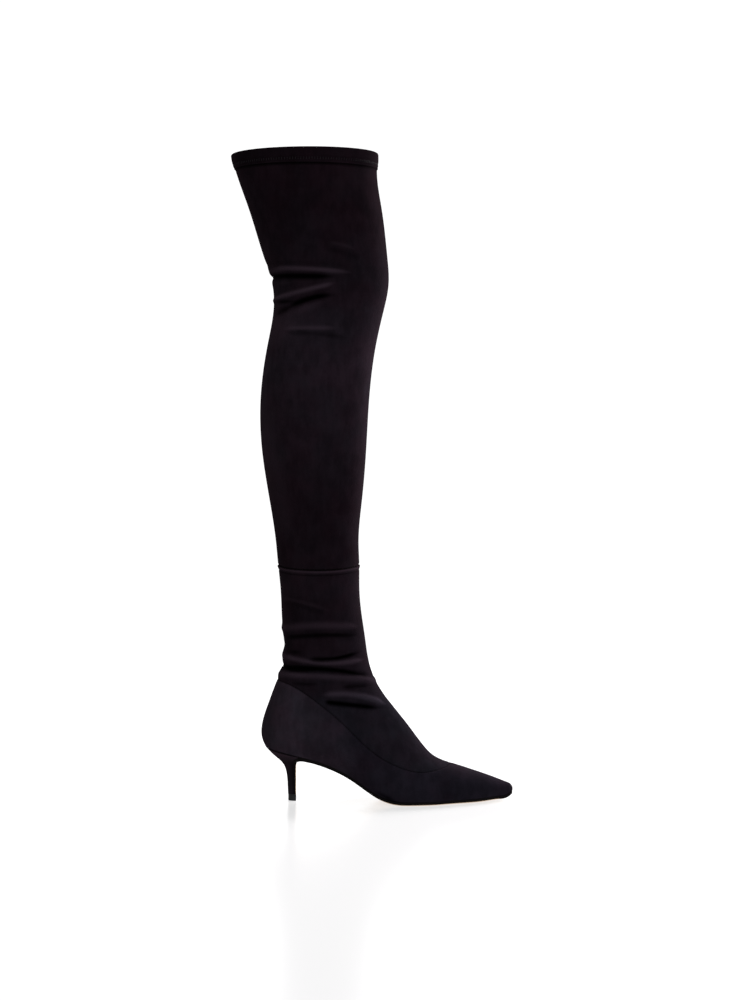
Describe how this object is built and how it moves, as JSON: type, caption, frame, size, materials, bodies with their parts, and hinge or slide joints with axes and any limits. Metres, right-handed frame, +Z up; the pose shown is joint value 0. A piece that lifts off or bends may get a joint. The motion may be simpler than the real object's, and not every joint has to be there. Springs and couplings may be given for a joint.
{
  "type": "over-the-knee boot",
  "caption": "Over-the-knee stretch boot with a pointed toe, a slim low heel and a folded band round the top, to be pulled on over foot and leg.",
  "frame": {"origin": "on the floor, under the middle of the boot's box", "axes": "+X towards the toe, +Z up the leg, -Y towards the outer side of the foot"},
  "size_m": [0.2821, 0.1142, 0.6464],
  "materials": {
    "stretch_suede": "black stretch suede with a short brushed nap",
    "foot_suede": "black suede with a short brushed nap",
    "heel_suede": "thin black suede stretched over the heel",
    "sole_leather": "smooth tan leather with a black inked edge",
    "lift_rubber": "dull black rubber",
    "sock_lining": "plain dark lining"
  },
  "bodies": {
    "root": {"upper": "foot_suede", "ankle_panel": "stretch_suede", "leg_panel": "stretch_suede", "top_band": "stretch_suede", "insole": "sock_lining", "outsole": "sole_leather", "heel": "heel_suede", "top_piece": "lift_rubber"}
  },
  "joints": []
}
